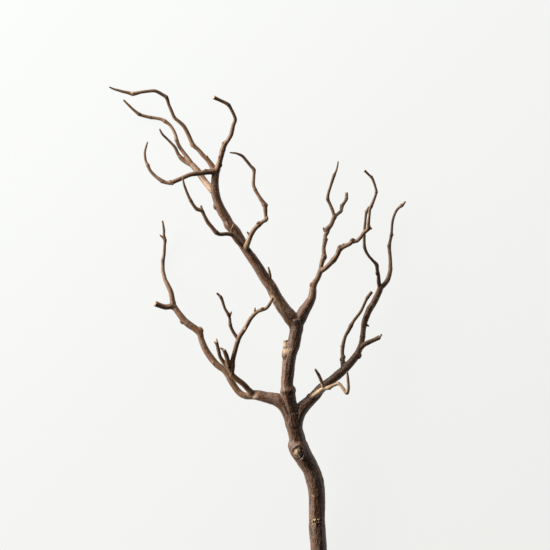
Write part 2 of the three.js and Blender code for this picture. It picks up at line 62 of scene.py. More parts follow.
LIMBS = [
    ("stem", "old_bark", [
        [(28, 0, 11.5, 23), (26.5, 50, 15, 22.5), (24.5, 78, 17.5, 23), (24, 92, 19, 22.5), (24, 120, 22, 22.5),
         (23, 134, 24, 23), (20, 148, 25.5, 24), (15.5, 162, 27, 23), (7.5, 176, 29.5, 25), (-0.4, 190, 32, 27),
         (-3, 197, 33, 26.6), (-3.8, 205, 34, 22), (-7, 218, 36, 21), (-9, 228, 37, 22.5), (-10, 243, 39, 22)],
    ]),
    ("leader", "old_bark", [
        [(-9, 234, 38, 18), (-13, 250, 42, 18.5), (-16.6, 267, 44, 19.5), (-17, 273.5, 44.8, 21.5),
         (-18, 281, 45.5, 16.5), (-16.5, 302, 47.5, 17), (-15, 316, 49, 17.5), (-12.5, 327, 50.5, 17.5),
         (-9, 337, 51.5, 17.5), (-6.5, 351, 52.5, 17), (-5, 360, 53, 18.5), (-6, 373, 54, 21)],
        [(-15, 311, 50, 8), (-19.5, 322, 51.5, 11), (-19, 333, 52, 9.5), (-21, 343.5, 52.5, 6)],
    ]),
    ("left_bough", "old_bark", [
        [(-10, 222, 37, 14), (-14, 234, 39, 15.5), (-20, 249, 41, 17), (-29, 258.5, 41.5, 18), (-38, 262, 41, 16),
         (-48, 264, 40, 14.3), (-56, 266, 39, 13.5), (-65, 267, 37, 12), (-74, 265.5, 34.5, 8.5),
         (-80, 267, 33, 7.7), (-84, 269.5, 31.5, 7.7), (-89.5, 275.5, 30.5, 7.5), (-97.5, 288, 29, 7.5),
         (-101, 295, 28, 7.7), (-106.5, 302, 27, 8), (-115, 308, 25, 8.4), (-123, 316.5, 22.5, 8.4),
         (-133, 331.5, 20, 8.1), (-138.5, 345.5, 18.5, 7.5), (-140.5, 353, 18, 8), (-145.5, 358.5, 17, 8.4),
         (-157, 366.5, 16, 9), (-163, 372.5, 15, 8), (-173.5, 386, 12.5, 7), (-176.5, 391, 12, 7)],
        [(-174, 387, 12.5, 6), (-180, 390.5, 13.5, 7), (-189, 390, 15, 6.6), (-196, 392, 17.5, 6.4),
         (-203.5, 395, 20, 7)],
    ]),
    ("right_bough", "old_bark", [
        [(-4, 222, 37, 14), (-3, 236, 39, 17), (3, 248, 39.5, 18), (13.5, 258.5, 38, 15.4), (22, 267, 37, 14.7),
         (29, 275.5, 35.5, 13.2), (36, 281.5, 34, 11.4), (45, 288, 32.5, 11.2), (53, 294.5, 31, 11.6),
         (61.5, 302, 29, 11.2), (77, 319, 26, 9.8), (82.5, 328.5, 25, 8.2), (86, 338.5, 23.5, 6.8),
         (88, 348, 22, 7), (89, 358, 21, 6.5), (90.5, 368, 20, 7.7), (94, 378.5, 19, 8.4), (98, 387.5, 18, 8.8),
         (103, 395, 17, 8.4), (111.5, 412.5, 15, 8), (113.5, 419.5, 15, 8)],
        [(82, 328, 25, 5.5), (89.5, 336.5, 26.5, 5.8), (95, 340, 28, 6), (105, 344.5, 29, 5.6), (112, 348, 30, 5.8)],
    ]),
    ("upper_left_bough", "old_bark", [
        [(-6, 360, 53.5, 14), (-13.5, 376, 54, 19), (-23.5, 389, 54, 17.5), (-34, 405.5, 54, 15.5),
         (-41, 419.5, 54.5, 14.5), (-47.5, 428, 54.5, 14), (-56, 442, 55, 13.5), (-64.5, 455, 55, 13),
         (-75.5, 470, 55, 12), (-83.5, 484, 55, 13.5), (-91, 496.5, 55.5, 14), (-99, 505, 55.5, 14),
         (-102, 512, 55.5, 12.5), (-110.5, 526, 56, 12.5), (-116, 540, 56, 11), (-119, 554, 56, 11),
         (-119, 568, 56, 10), (-117.5, 580.5, 56, 10)],
    ]),
    ("upper_right_bough", "old_bark", [
        [(-4, 360, 53.5, 12), (1, 375, 54, 16), (5.5, 384.5, 53, 15.5), (11.5, 393.5, 52, 13),
         (16.5, 403, 51, 10.5), (18, 411, 50.5, 9.5), (18.5, 418, 50, 8.5), (21, 424.5, 49.5, 7.7),
         (24.5, 430, 49, 6.8), (29.5, 442.5, 48, 7)],
    ]),
    ("left_inner_bough", "young_bark", [
        [(-62, 268, 39, 8), (-68, 270.5, 40.5, 8), (-73, 275.5, 42, 7), (-78.5, 281.5, 44, 7), (-84, 286, 45, 7),
         (-89.5, 290, 46, 7), (-96.5, 296.5, 47, 7)],
        [(-95, 295, 47, 5), (-102, 306, 48.5, 5), (-107, 313, 50, 4.8), (-112, 321, 52, 4.2),
         (-113.5, 327, 54, 4.2), (-117, 342, 58, 3.6)],
        [(-95, 295, 47, 5), (-99.5, 307.5, 51, 6), (-103, 321.5, 55, 5.6), (-106.5, 330.5, 59, 4.6)],
    ]),
    ("left_arc_twig", "tip_bark", [
        [(-95.5, 295, 47.5, 5.5), (-94.5, 307.5, 50, 6.3), (-94, 316, 51, 5.9), (-91.5, 326, 53, 5.6),
         (-87.5, 341, 59, 5.8), (-84, 349.5, 62, 5.6), (-78.5, 358, 64, 5.6), (-73.5, 366.5, 66, 5),
         (-69.5, 373.5, 68, 4.8), (-64.5, 379.5, 70, 4.5), (-59, 384, 72, 4.2), (-53, 386.5, 74, 4.3),
         (-47.5, 388.5, 75, 4), (-43.5, 393, 76.5, 3.8), (-37.5, 403.5, 79, 3)],
    ]),
    ("left_fork_twig", "tip_bark", [
        [(-86, 345, 60.5, 4.2), (-89.5, 349.5, 61, 4.3), (-94, 356.5, 62, 3.9), (-97.5, 365.5, 64, 4.2),
         (-98.5, 375, 65, 3.4), (-100, 379.5, 66, 4), (-105, 388, 68, 3.2), (-110.5, 403.5, 71, 3.8),
         (-115.5, 409, 73, 2.2)],
    ]),
    ("left_tip_twig", "tip_bark", [
        [(-175, 387.5, 12, 5), (-178, 396, 11, 6.6), (-180, 407, 10.5, 6.3), (-181.5, 412.5, 10, 6.1),
         (-185.5, 421, 8.5, 5.4), (-189, 428, 6.5, 4.7), (-191, 435, 4.5, 4.4), (-192.5, 442, 3, 4.3),
         (-192.5, 449, 2, 4), (-192.5, 456, 2.2, 4.2), (-191, 463, 2.8, 3.5), (-190, 477, 5, 3.1),
         (-189.5, 484, 6, 3.7), (-191, 491, 7.5, 2.6), (-191, 498, 9, 2.6), (-193, 511.5, 13, 1.4)],
    ]),
    ("right_front_twig", "tip_bark", [
        [(15, 262, 41, 6.5), (22, 268, 46, 5.6), (28, 272.5, 48, 5.9), (33.5, 276, 50, 5), (40.5, 277.5, 53, 5.2),
         (47.5, 281, 56, 4.2), (54, 283, 58, 4.4), (59, 278, 60, 4), (65.5, 270, 62, 4.4), (67.5, 275.5, 64, 3.9),
         (67, 288, 67, 3.5), (66, 299.5, 70, 2.2)],
        [(33, 276, 50, 4.2), (32, 281, 52, 4.4), (29.5, 287.5, 55, 4.2), (26.5, 294.5, 60, 3.9),
         (21, 303.5, 68, 2.6)],
    ]),
    ("right_inner_twig", "young_bark", [
        [(61, 303, 29, 6.5), (60, 313, 27, 6.2), (60, 319, 25, 5.2), (59.5, 326, 22.5, 4.5), (60, 334, 20, 4.8),
         (64, 349.5, 17, 3.9), (68, 356.5, 15.5, 4.8), (71.5, 363.5, 14.5, 5.3), (75.5, 370.5, 13.5, 3.7),
         (85.5, 384, 12, 3.5), (93, 400, 12.5, 3.5), (95, 403.5, 13, 4.2), (101, 411.5, 14, 3.9)],
    ]),
    ("right_long_twig", "young_bark", [
        [(113, 416, 14.5, 6), (119, 422.5, 14, 6.3), (123, 428, 12, 6.2), (127, 442, 9, 5.4), (127, 449, 7, 4.8),
         (127, 456, 5, 4.5), (126.5, 463, 3.5, 4.2), (125.5, 475.5, 2.3, 4.6), (127, 484, 2.6, 3.6),
         (128.5, 491, 3.5, 4), (129, 498, 4.6, 3), (130.5, 512, 7, 3), (135, 524.5, 9, 3.1),
         (138.5, 529, 10.5, 3.2), (143, 532.5, 12.5, 4), (146.5, 536, 14.5, 2.4), (148, 538.5, 16, 1.6)],
    ]),
    ("right_wavy_twig", "young_bark", [
        [(113, 416, 15, 5.5), (111, 423, 17.5, 5.4), (110, 435, 22, 4.4), (108.5, 442, 25, 4.5),
         (107.5, 449, 28, 5), (101.5, 456, 31, 3.6), (96.5, 461.5, 34, 3.4), (92.5, 468, 36, 3.8),
         (90.5, 474, 38, 4), (90, 481, 40, 3.5), (90, 491, 42, 3.5), (91.5, 512, 46.5, 2.9), (93, 523, 49, 3.4),
         (96.5, 531, 51, 1.8)],
    ]),
    ("side_twig_left", "young_bark", [
        [(-78.5, 474, 58, 8), (-87, 482.5, 63, 8), (-95, 491.5, 66, 6.3), (-103.5, 492.5, 69, 5),
         (-112, 492, 72, 4.8), (-117, 494.5, 74, 6), (-123, 501.5, 76, 5), (-129, 509, 77.5, 5),
         (-134.5, 519.5, 80, 4.2), (-137, 524.5, 81, 4.8), (-144, 527, 82.5, 4.8), (-148.5, 532, 84, 4),
         (-152.5, 538.5, 85, 4.2), (-156, 545.5, 86, 3.4), (-160.5, 557, 88.5, 3), (-162, 561.5, 90, 2.5),
         (-164, 572.5, 92, 1.5)],
    ]),
    ("side_twig_right", "young_bark", [
        [(-76, 472, 58, 7), (-74, 477, 65, 7), (-71.5, 484, 70, 6.7), (-68.5, 491, 73, 6), (-63, 499.5, 76, 5.6),
         (-57.5, 505, 77.5, 6), (-52, 509.5, 79, 4.8), (-47.5, 512.5, 80, 5.2), (-48, 519, 80, 4.4),
         (-48.5, 526, 80, 5.4), (-49.5, 533, 79.5, 6.2), (-54, 540, 79, 5), (-58.5, 547, 78, 4.2),
         (-62.5, 554, 77, 4.4), (-65, 561, 76, 4.2), (-64.5, 575, 74.5, 3.9), (-64.5, 582, 74, 4.4),
         (-69.5, 588, 75, 3.6), (-73.5, 593, 76, 3.6), (-80.5, 601, 78.5, 3.4), (-84, 603, 80, 3.2),
         (-89.5, 605, 81.5, 2.3), (-98.5, 606, 84, 1.3)],
    ]),
    ("back_bough", "young_bark", [
        [(-116.5, 544.5, 56.5, 7), (-118, 548, 52, 9), (-123, 554, 46, 9), (-131.5, 564, 36, 8.5),
         (-136, 570, 32, 8.5), (-143, 580.5, 26, 8.5), (-147, 585, 23, 8), (-150.5, 589, 20, 8)],
    ]),
    ("back_twig_upper", "tip_bark", [
        [(-148, 585.5, 22, 6), (-154, 594, 19, 5.8), (-158, 600, 17, 5), (-164, 608, 15, 4.5),
         (-169.5, 616, 13, 4.6), (-173, 624, 11, 4.9), (-175, 632.5, 9, 3.8), (-182, 645, 6, 3.6),
         (-189, 650.5, 4.5, 4.6), (-195.5, 654, 3, 4), (-203, 655.5, 2.2, 3.8), (-210, 656.5, 2, 4),
         (-222.5, 659.5, 3, 3.8), (-226, 661, 3.5, 4.6), (-232.5, 666, 5, 3.2), (-238, 671, 6, 3),
         (-248, 681, 8, 2)],
    ]),
    ("back_twig_lower", "tip_bark", [
        [(-148, 587, 21, 6), (-155, 591, 19, 6), (-161, 594.5, 17, 6), (-166.5, 599, 16, 6), (-171, 605, 16, 4.2),
         (-175, 613.5, 17, 3.8), (-180.5, 620, 18, 3), (-187.5, 627, 20, 2.7), (-193, 632.5, 23, 2.6),
         (-197, 640, 26, 1.8)],
    ]),
    ("front_arm", "young_bark", [
        [(-117, 575, 57, 8), (-121, 579, 58.5, 8), (-133, 578.5, 62, 7), (-140, 577, 65, 6), (-147, 576.5, 68, 6),
         (-154, 575, 70, 5.5), (-168, 569, 74, 5.5), (-175, 566, 75, 5.5), (-180, 564, 75, 6.2),
         (-186, 564, 74.5, 4.8), (-192, 566, 74, 5), (-196, 568.5, 73.5, 4.8), (-203, 574, 72, 4),
         (-210, 582, 71.5, 3.6), (-212.5, 588, 71, 4.2), (-215.5, 594, 70, 3), (-217, 606, 71, 2.6),
         (-215.5, 613, 72, 2.4), (-213, 621, 76, 1.4)],
    ]),
    ("top_left_twig", "tip_bark", [
        [(-118, 577, 55.5, 7), (-121, 584, 55, 7.5), (-129, 596, 54, 6), (-136, 603, 53, 5.5), (-142, 610, 52, 5),
         (-149.5, 617, 51, 5.5), (-156, 631, 50, 5), (-162.5, 643, 50.5, 4.8), (-168.5, 649, 51, 4.5),
         (-175.5, 655, 51.5, 4.2), (-180.5, 666, 52.5, 4), (-183.5, 673, 53, 3.6), (-187, 683.5, 56, 4.5),
         (-192, 687, 57, 4.2), (-203, 692.5, 60, 4), (-213, 692, 61.5, 3.8), (-221, 691, 63, 3.9),
         (-234, 688.5, 64, 5.2), (-241, 690, 65, 3.8), (-248, 691.5, 66, 3.5), (-255, 693.5, 67, 3),
         (-260.5, 695, 68, 2.2), (-267, 698, 70, 1.4)],
    ]),
    ("top_hook_twig", "young_bark", [
        [(-118, 575, 56, 8), (-116, 582, 57, 8.5), (-113.5, 589, 58, 7), (-111.5, 596, 60, 6.5), (-108, 610, 62, 7),
         (-105.5, 617, 64, 6.5), (-100.5, 624, 67, 5.5), (-96.5, 631, 70, 5.5), (-93, 645, 75, 5),
         (-90.5, 652, 78, 4.5), (-92.5, 659, 80, 4), (-96, 666, 82, 4), (-100, 672.5, 84, 4.5), (-112, 679, 87, 4),
         (-117.5, 681.5, 90, 4.5), (-121, 683, 92, 5)],
    ]),
    ("forked_twig", "young_bark", [
        [(28.5, 439, 48, 5), (30, 449, 46, 4.8), (32, 456, 44, 5.6), (34, 460, 43, 6.2), (33.5, 467, 42, 4.4),
         (33.5, 474, 40.5, 3.9), (35.5, 484, 38, 5), (35.5, 489.5, 36.5, 3.8), (38, 495, 35, 5.2),
         (39, 499.5, 34, 6), (43.5, 505, 32.5, 4.6), (46.5, 512, 31, 4.6), (49, 517.5, 30, 5.4)],
    ]),
    ("forked_twig_left", "tip_bark", [
        [(48.3, 515, 30.5, 4), (46, 524.5, 29, 4), (42, 534.5, 28, 3.7), (39, 541.5, 28, 4.2), (40, 550, 29, 3.4),
         (42.5, 558, 30, 3.4), (48, 575, 34, 3.8), (50.5, 580.5, 36, 2.4), (52.5, 587.5, 38, 1.8),
         (53.5, 594.5, 40, 1.2)],
    ]),
    ("forked_twig_right", "tip_bark", [
        [(48, 516, 30.5, 4), (54, 521.5, 26, 3.9), (57.5, 524.5, 24, 4.3), (59, 531.5, 18, 4.5),
         (62.5, 537, 16, 3.8), (65, 541.5, 14, 4.1), (65.5, 551, 12, 3.6)],
    ]),
    ("reaching_twig", "young_bark", [
        [(28, 439, 48.5, 5.5), (35, 444, 51, 6), (42, 450.5, 52, 6.2), (47, 456, 54, 7.5), (52, 463, 56, 6),
         (56, 471.5, 58, 7), (63, 475.5, 61, 5.4), (70, 479, 63, 5.3), (73.5, 482.5, 64, 6.3), (79, 482.5, 65, 4.6),
         (84, 487, 66, 4.8), (89.5, 494, 67, 4.8), (96, 500.5, 68, 5), (95.5, 505.5, 68.5, 4.3), (97, 519, 70, 3.1),
         (97.5, 526, 71, 3.4), (99.5, 531, 72, 4.2), (105.5, 546.5, 75, 3.2), (106.5, 551, 76, 3.6),
         (105.5, 557, 77, 2.8), (100, 571.5, 80, 3.1), (96.5, 574.5, 81, 2.6), (89.5, 581.5, 84, 2.9)],
    ]),
]

# Thorns, prongs and short spurs too thin for the solids, each grown out of the limb named.
THORNS = [
    ("upper_left_bough", [
        (-45, 426, 56, 4), (-41.6, 432, 57.5, 3.2), (-42.6, 439, 58, 2.8), (-44.4, 446.5, 58.5, 1.5),
    ]),
    ("side_twig_left", [(-96, 491, 66, 2.6), (-95.4, 498, 67.5, 2.2), (-93, 506, 69, 1.3)]),
    ("side_twig_right", [(-70.5, 490, 73, 3), (-72, 492.5, 74, 2.3), (-74.2, 495.6, 75, 1.5)]),
    ("left_tip_twig", [(-190, 484.5, 6.5, 2.8), (-193, 488, 7, 2.3), (-197, 491.4, 8, 1.3)]),
    ("right_bough", [(91, 366.5, 20, 3.4), (94.5, 364.5, 21, 2.4), (97, 363, 22, 1.4)]),
    ("right_bough", [(111, 347, 30, 3.6), (113.2, 349.8, 30.5, 2.4), (115, 352.2, 31, 1.3)]),
    ("reaching_twig", [(95.5, 500.5, 68, 4), (98, 500.5, 68.5, 3.2), (100.6, 499.2, 69, 1.8)]),
    ("left_arc_twig", [(-64.5, 379, 70, 3), (-63.4, 384, 71.5, 2.2), (-62.8, 389.6, 73.5, 1.3)]),
    ("left_fork_twig", [(-98.7, 376, 65.5, 2.8), (-97.2, 380, 66.5, 2.2), (-95.6, 384, 67.5, 1.4)]),
    ("left_inner_bough", [(-106.5, 329, 59, 3.8), (-109, 331.5, 59.5, 2.8), (-111.8, 333, 60, 1.6)]),
    ("left_inner_bough", [(-116.4, 339, 57.5, 3), (-116.6, 342.5, 58, 2.2), (-116.8, 346, 58.5, 1.3)]),
    ("left_inner_bough", [(-116.6, 337.5, 57.5, 3), (-118.3, 339.8, 58, 2.2), (-120.2, 342, 58.5, 1.3)]),
    ("side_twig_left", [(-137, 525, 81, 4), (-137.8, 528.8, 82, 3.2), (-138.4, 532.6, 83, 1.6)]),
    ("top_left_twig", [(-151, 614.5, 51, 3), (-152.6, 617.5, 51.5, 2.6), (-153.6, 620.5, 52, 1.4)]),
    ("forked_twig", [(35, 496, 35, 3), (33.6, 499, 35.5, 2.6), (32.6, 502, 36, 1.4)]),
]

# Knobs and resting buds that swell out of a limb's side: x, y, radius, how high in the limb it sits.
KNOBS = [
    ("stem", [(29.4, 147.5, 4.4, 0.3), (16.5, 84.5, 2.0, 0.7), (19.2, 91.5, 2.2, 0.7), (22.4, 86, 2.4, 0.7),
        (26, 92.5, 2.0, 0.7), (28.6, 86.5, 1.8, 0.7)]),
    ("left_bough", [(-62.5, 263.5, 3.2, 0.7), (-139, 358.5, 3.6, 0.7), (-166, 368.8, 2.8, 0.7)]),
    ("left_arc_twig", [(-76, 359.6, 2.4, 0.7), (-53.2, 388.4, 2.1, 0.7)]),
    ("upper_left_bough", [(-35.8, 419.6, 3.4, 0.7), (-70.2, 470, 2.6, 0.7), (-119, 530, 3.2, 0.7)]),
    ("upper_right_bough", [(15.4, 421.4, 2.6, 0.7)]),
    ("top_hook_twig", [(-110.3, 588, 2.1, 0.7), (-113, 600, 1.9, 0.7), (-107.7, 619.6, 1.9, 0.7)]),
    ("top_left_twig", [(-130.2, 600.6, 2.1, 0.7), (-233.2, 686.8, 1.8, 0.7)]),
    ("front_arm", [(-132.4, 581.8, 1.9, 0.7), (-178.6, 562.2, 1.9, 0.7)]),
    ("side_twig_right", [(-58.6, 507.8, 2.1, 0.7), (-45.8, 514.2, 2.2, 0.7), (-46.6, 533, 2.0, 0.7)]),
    ("forked_twig", [(36.4, 498.6, 2.1, 0.7)]),
    ("reaching_twig", [(55, 475, 2.4, 0.7), (60.4, 477.6, 2.1, 0.7), (72.8, 484.6, 2.1, 0.7)]),
    ("right_bough", [(12.2, 266, 3.2, 0.7)]),
    ("right_inner_twig", [(57.2, 316.6, 2.1, 0.7), (62.4, 320, 2.1, 0.7)]),
    ("right_front_twig", [(27.2, 294.4, 2.2, 0.7)]),
    ("upper_left_bough", [(-5.6, 373.5, 5.4, 0.05)]),
    ("right_bough", [(92.2, 377.4, 2.9, 0.7), (100.4, 391.8, 2.9, 0.8), (107.4, 401.6, 2.7, 0.6),
        (83.4, 321, 3.2, 0.5)]),
    ("left_fork_twig", [(-110.8, 404.6, 2.3, 0.5), (-115, 408.4, 2.1, 0.4)]),
    ("right_wavy_twig", [(107.6, 437, 2.2, 0.5)]),
    ("left_bough", [(-121, 311.5, 3.0, 0.6)]),
]

# Where wood shows bare or the bark has worn pale, and painted light where a lit side or a highlight is painted pale:
# x, y, reach, strength.
WORN_AND_LIT = [
    # Painted light: the first two patches paint the lit left side of the leader's stub pale; the last is a pale pore.
    ("leader", [(-22.4, 339, 5.6, 0.95), (-20.6, 329, 5.2, 0.7), (-12.6, 330.7, 2.2, 0.5)]),
    ("left_bough", [(-62.5, 264, 4.2, 0.6), (-204, 395, 4.0, 0.4)]),
    # These two: broad paler stretches of twig bark.
    ("right_front_twig", [(30, 272, 20, 0.6), (56, 281, 16, 0.5)]),
    ("side_twig_right", [(-73, 481, 11, 0.35)]),
    # Painted light: the lit side of the back bough, painted beige.
    ("back_bough", [(-130, 562, 14, 0.3)]),
    ("left_bough", [(-177, 387, 3.4, 0.4)]),
    ("right_bough", [(112, 348.5, 2.4, 0.8)]),
    # Painted highlight on the upper left bough's left edge.
    ("upper_left_bough", [(-40, 402, 6.0, 0.55)]),
    ("left_inner_bough", [(-106.5, 331, 2.6, 0.6), (-117, 343, 2.4, 0.6)]),
    ("side_twig_left", [(-137.8, 529, 3.4, 0.5), (-93.5, 504, 3.0, 0.4)]),
    ("stem", [(18.2, 125.6, 2.2, 0.5)]),
    ("top_left_twig", [(-235, 690.5, 2.4, 0.6), (-152, 616, 3.0, 0.4)]),
    ("top_hook_twig", [(-121, 683, 1.6, 0.8)]),
    ("forked_twig_right", [(65.5, 551, 1.4, 0.8)]),
    ("reaching_twig", [(89.5, 581.5, 1.4, 0.8)]),
]

# The healed branch scar on the stem: its middle and the reach of its outer fold across and along.
SCAR_MIDDLE = (-2.6, 186.0)
SCAR_REACH = (8.0, 9.2)

# The crumbled patch of old bud scars on the lower stem: its middle and its reach across and along.
CRUMBLED_MIDDLE = (22.4, 88.5)
CRUMBLED_REACH = (8.4, 5.4)

# How far in from the stem's end the bark stops and the sawn slice begins.
SAW_DEPTH = 0.9

# The living bark stands this much outside the solids' facets, all round.
BARK_SWELL = 0.42
# Limbs whose bark has grown thicker still.
PLUMP = {"left_bough": 0.3, "forked_twig": 0.4, "left_tip_twig": 0.2, "left_inner_bough": 0.15, "left_arc_twig": 0.15}
# The mesh of the skin: the side of its squares, and the rounds of evening it and of filling its forks.
VOXEL = 0.57
FIRST_EVENING, FORK_FILLING, LAST_EVENING, BORDER_EVENING = 3, 84, 2, 6
# Tubes before they grow together: the spacing of their rings and how many sides they have.
RING_STEP, THORN_STEP = 0.9, 0.7
THICK_SIDES, THIN_SIDES, THORN_SIDES = 28, 18, 10
# A node is a swelling on a limb thinner than this, and its ring reaches this far along the limb.
THICKEST_WITH_NODES = 12
NODE_REACH = 1.6
PORES = 420
FRAME_WIDTH = 0.770


def rings_along(route, step):
    """Rings along a route: middle, direction, thickness and closeness to a node, every step or less."""
    stations = np.array(route, dtype=float)
    points, widths = stations[:, :3] - GROUND_MIDDLE, stations[:, 3]
    is_node = np.zeros(len(widths))
    here, rise = widths[1:-1], 0.15
    is_node[1:-1] = (here > widths[:-2] + rise) & (here >= widths[2:] + rise) & (here < THICKEST_WITH_NODES)
    middles, directions, thicknesses, nodes = [], [], [], []
    for i in range(len(points) - 1):
        p1, p2 = points[i], points[i + 1]
        p0 = points[i - 1] if i else 2 * p1 - p2
        p3 = points[i + 2] if i + 2 < len(points) else 2 * p2 - p1
        d0, d1, d2 = (math.sqrt(np.linalg.norm(b - a)) for a, b in ((p0, p1), (p1, p2), (p2, p3)))
        leave = ((p1 - p0) / d0 - (p2 - p0) / (d0 + d1) + (p2 - p1) / d1) * d1
        arrive = ((p2 - p1) / d1 - (p3 - p1) / (d1 + d2) + (p3 - p2) / d2) * d1
        bend, twist = 3 * (p2 - p1) - 2 * leave - arrive, leave + arrive - 2 * (p2 - p1)
        length = np.linalg.norm(p2 - p1)
        steps = max(2, round(length / step))
        count = steps + (i == len(points) - 2)
        for t in np.arange(count) / steps:
            middles.append(p1 + leave * t + bend * t**2 + twist * t**3)
            slope = leave + 2 * bend * t + 3 * twist * t**2
            directions.append(slope / np.linalg.norm(slope))
            eased = t * t * (3 - 2 * t)
            thicknesses.append(widths[i] + (widths[i + 1] - widths[i]) * eased)
            before = is_node[i] * math.exp(-((t * length / NODE_REACH) ** 2))
            after = is_node[i + 1] * math.exp(-(((1 - t) * length / NODE_REACH) ** 2))
            nodes.append(max(before, after))
    return np.array(middles), np.array(directions), np.array(thicknesses), np.array(nodes)


def axes_across(direction):
    """The level axis across each direction, and the one that stands on both."""
    across = np.cross(direction, (0, 0, 1))
    across /= np.linalg.norm(across, axis=-1, keepdims=True)
    return across, np.cross(across, direction)


class Limbs:
    """All the rings of the branch in one row of arrays, and the tubes laid over them."""

    def __init__(self):
        self.middle, self.direction, self.thickness, self.node = [], [], [], []
        self.along, self.limb = [], []
        self.vertices, self.faces, self.ring_of_vertex = [], [], []
        self.rings = self.corners = 0
        self.routes = 0

    def lay(self, limb, route, step, sides, from_end=0.0, swell=BARK_SWELL):
        middle, direction, thickness, node = rings_along(route, step)
        if from_end:
            middle[0] += direction[0] * from_end
        across, above = axes_across(direction)
        stretch = np.linalg.norm(np.diff(middle, axis=0), axis=1)
        along = np.concatenate([[0], np.cumsum(stretch)]) + 173.0 * self.routes
        count = len(middle)

        angle = np.arange(sides) / sides * 2 * np.pi - np.pi / 2
        thickness = thickness + 2 * swell
        radius = thickness[:, None] / 2
        corners = (
            middle[:, None, :]
            + across[:, None, :] * (np.cos(angle) * radius)[:, :, None]
            + above[:, None, :] * (np.sin(angle) * radius)[:, :, None]
        )
        here = self.corners + np.arange(count - 1)[:, None] * sides + np.arange(sides)
        beside = self.corners + np.arange(count - 1)[:, None] * sides + (np.arange(sides) + 1) % sides
        quads = np.stack([here, beside, beside + sides, here + sides], axis=-1).reshape(-1, 4)
        self.faces += quads.tolist()
        first = list(range(self.corners, self.corners + sides))
        last = [corner + (count - 1) * sides for corner in first]
        self.faces += [first[::-1], last]
        self.vertices.append(corners.reshape(-1, 3))
        self.ring_of_vertex.append(np.repeat(np.arange(self.rings, self.rings + count), sides))
        for store, values in (
            (self.middle, middle),
            (self.direction, direction),
            (self.thickness, thickness),
            (self.node, node),
            (self.along, along),
            (self.limb, np.full(count, limb)),
        ):
            store.append(values)
        self.rings += count
        self.corners += count * sides
        self.routes += 1

    def knob(self, limb, x, y, radius, sit):
        """A lump set into the upper side of a limb, at the height the bark has there."""
        middles, thicknesses = np.vstack(self.middle), np.concatenate(self.thickness)
        limbs, directions = np.concatenate(self.limb), np.vstack(self.direction)
        spot = np.array([x, y]) - GROUND_MIDDLE[:2]
        apart = np.linalg.norm(middles[:, :2] - spot, axis=1) + 1e6 * (limbs != limb)
        ring = int(np.argmin(apart))
        height = middles[ring, 2] + math.sqrt(max((thicknesses[ring] / 2) ** 2 - apart[ring] ** 2, 0)) * sit
        centre = np.array([spot[0], spot[1], height])
        turns, tiers = 10, 6
        tier = (np.arange(1, tiers) / tiers * np.pi)[:, None]
        turn = np.arange(turns) / turns * 2 * np.pi
        ball = np.stack([np.sin(tier) * np.cos(turn), np.sin(tier) * np.sin(turn), np.cos(tier) + 0 * turn], axis=-1)
        corners = np.vstack([[[0, 0, 1]], ball.reshape(-1, 3), [[0, 0, -1]]]) * radius * 0.88
        # Drawn out along the limb, as a bud that grew into it is.
        corners = corners + np.outer(corners @ directions[ring], directions[ring]) * 0.7 + centre
        base = self.corners
        end = base + len(corners) - 1
        for t in range(turns):
            after = (t + 1) % turns
            self.faces.append([base, base + 1 + t, base + 1 + after])
            self.faces.append([end, end - turns + after, end - turns + t])
            for k in range(tiers - 2):
                row = base + 1 + k * turns
                self.faces.append([row + t, row + turns + t, row + turns + after, row + after])
        self.vertices.append(corners)
        self.ring_of_vertex.append(np.full(len(corners), ring))
        self.corners += len(corners)

    def close(self):
        self.middle, self.direction = np.vstack(self.middle), np.vstack(self.direction)
        self.thickness, self.node = np.concatenate(self.thickness), np.concatenate(self.node)
        self.along, self.limb = np.concatenate(self.along), np.concatenate(self.limb)
        self.vertices, self.ring_of_vertex = np.vstack(self.vertices), np.concatenate(self.ring_of_vertex)


def grown_together(limbs):
    """The tubes fused into one closed skin of even small quads: its points and quads, in mm."""
    mesh = bpy.data.meshes.new("tubes")
    mesh.from_pydata(limbs.vertices.tolist(), [], limbs.faces)
    tubes = put_in("tubes", mesh)
    fuse = tubes.modifiers.new("fuse", "REMESH")
    fuse.mode, fuse.voxel_size = "VOXEL", VOXEL
    points, quads = points_and_quads(plain_mesh(tubes))
    bpy.data.objects.remove(tubes)
    return points, quads


def plain_mesh(thing):
    """The thing as its modifiers leave it."""
    graph = bpy.context.evaluated_depsgraph_get()
    return bpy.data.meshes.new_from_object(thing.evaluated_get(graph), depsgraph=graph)


def points_and_quads(mesh):
    points = np.empty(len(mesh.vertices) * 3)
    mesh.vertices.foreach_get("co", points)
    corners = np.empty(len(mesh.loops), dtype=np.int32)
    mesh.loops.foreach_get("vertex_index", corners)
    return points.reshape(-1, 3), corners.reshape(-1, 4)


def normals_of(points, quads):
    a, b, c, d = (points[quads[:, k]] for k in range(4))
    facing = np.cross(c - a, d - b)
    total = np.zeros_like(points)
    for axis in range(3):
        for k in range(4):
            total[:, axis] += np.bincount(quads[:, k], facing[:, axis], len(points))
    return total / np.maximum(np.linalg.norm(total, axis=1, keepdims=True), 1e-12)


class Neighbours:
    """Averages over the points that share an edge."""

    def __init__(self, quads, count):
        edges = np.vstack([quads[:, [0, 1]], quads[:, [1, 2]], quads[:, [2, 3]], quads[:, [3, 0]]])
        edges.sort(axis=1)
        self.a, self.b = np.unique(edges, axis=0).T
        self.count = count
        self.degree = np.bincount(self.a, minlength=count) + np.bincount(self.b, minlength=count)

    def mean(self, values):
        columns = values.reshape(self.count, -1)
        total = np.stack(
            [
                np.bincount(self.a, column[self.b], self.count) + np.bincount(self.b, column[self.a], self.count)
                for column in columns.T
            ],
            axis=1,
        )
        return (total / self.degree[:, None]).reshape(values.shape)


def smoothed(points, near, rounds):
    """Evened without shrinking: a step inwards and a slightly longer one outwards each round."""
    for _ in range(rounds):
        points = points + 0.5 * (near.mean(points) - points)
        points = points - 0.52 * (near.mean(points) - points)
    return points


